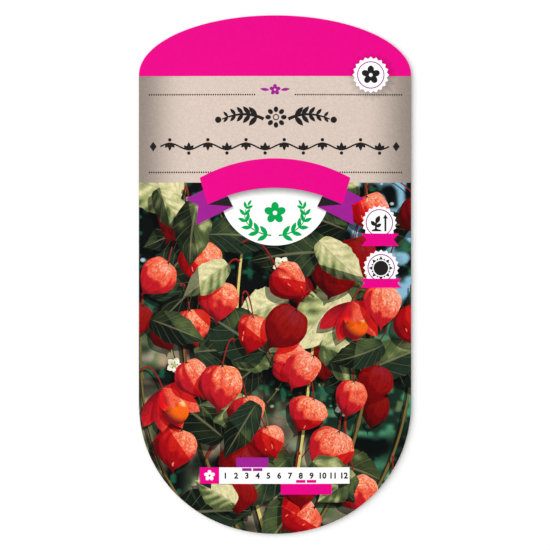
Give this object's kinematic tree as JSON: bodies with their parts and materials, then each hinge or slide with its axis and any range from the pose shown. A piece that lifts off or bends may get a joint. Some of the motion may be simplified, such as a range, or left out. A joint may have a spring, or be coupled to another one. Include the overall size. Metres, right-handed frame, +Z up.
{
  "type": "seed packet",
  "caption": "Flat die-cut paper seed packet with an arched top and a deep round bottom, printed on its front, with a loose pinch of seeds sealed in its shallow pocket.",
  "frame": {"origin": "under the middle of the packet's outline, on the surface that it lies on", "axes": "+X across the packet to the right of its printed front, +Y towards its arched top, +Z up out of its printed front"},
  "size_m": [0.084, 0.16, 0.0034],
  "materials": {
    "plain_back": "matt printed paper",
    "printed_front": "satin printed paper",
    "seed_coat": "dull dry seed coat"
  },
  "bodies": {
    "root": {"back_sheet": "plain_back", "front_sheet": "printed_front", "seeds": "seed_coat"}
  },
  "joints": []
}
